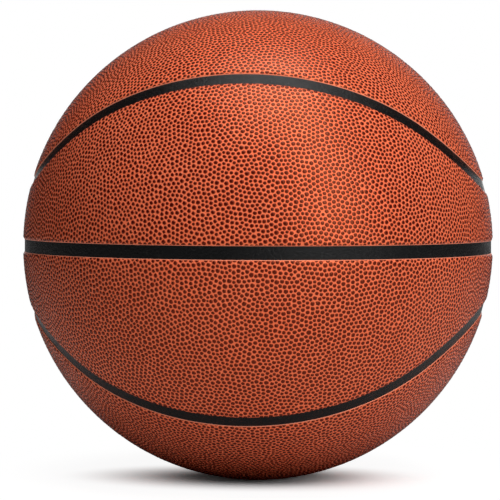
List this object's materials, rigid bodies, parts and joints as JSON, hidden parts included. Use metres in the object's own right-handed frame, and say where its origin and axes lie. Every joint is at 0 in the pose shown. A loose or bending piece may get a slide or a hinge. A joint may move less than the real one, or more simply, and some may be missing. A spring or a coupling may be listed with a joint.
{
  "type": "basketball",
  "caption": "Inflated basketball with pebbled orange cover panels set between black rubber ribs, over a wound carcass, a bladder and a needle valve.",
  "frame": {"origin": "centre of the ball", "axes": "+Z through the middle of the upper crown, -Y through the middle of the front of the equator seam, +X through the crossing of the equator seam and the upright seam; the valve is on the +Y side"},
  "size_m": [0.2406, 0.2408, 0.2408],
  "materials": {
    "cover": "satin",
    "foam": "matte",
    "seam_rubber": "satin",
    "thread": "matte",
    "bladder": "satin",
    "valve_rubber": "satin",
    "valve_plug": "satin"
  },
  "bodies": {
    "root": {"bladder": "bladder", "valve_housing": "valve_rubber", "valve_plug": "valve_plug", "thread_winding": "thread", "carcass": "seam_rubber", "upper_crown_front_foam": "foam", "upper_crown_back_foam": "foam", "upper_belt_front_foam": "foam", "upper_belt_back_foam": "foam", "lower_belt_front_foam": "foam", "lower_belt_back_foam": "foam", "lower_crown_front_foam": "foam", "lower_crown_back_foam": "foam", "upper_crown_front": "cover", "upper_crown_back": "cover", "upper_belt_front": "cover", "upper_belt_back": "cover", "lower_belt_front": "cover", "lower_belt_back": "cover", "lower_crown_front": "cover", "lower_crown_back": "cover"}
  },
  "joints": []
}
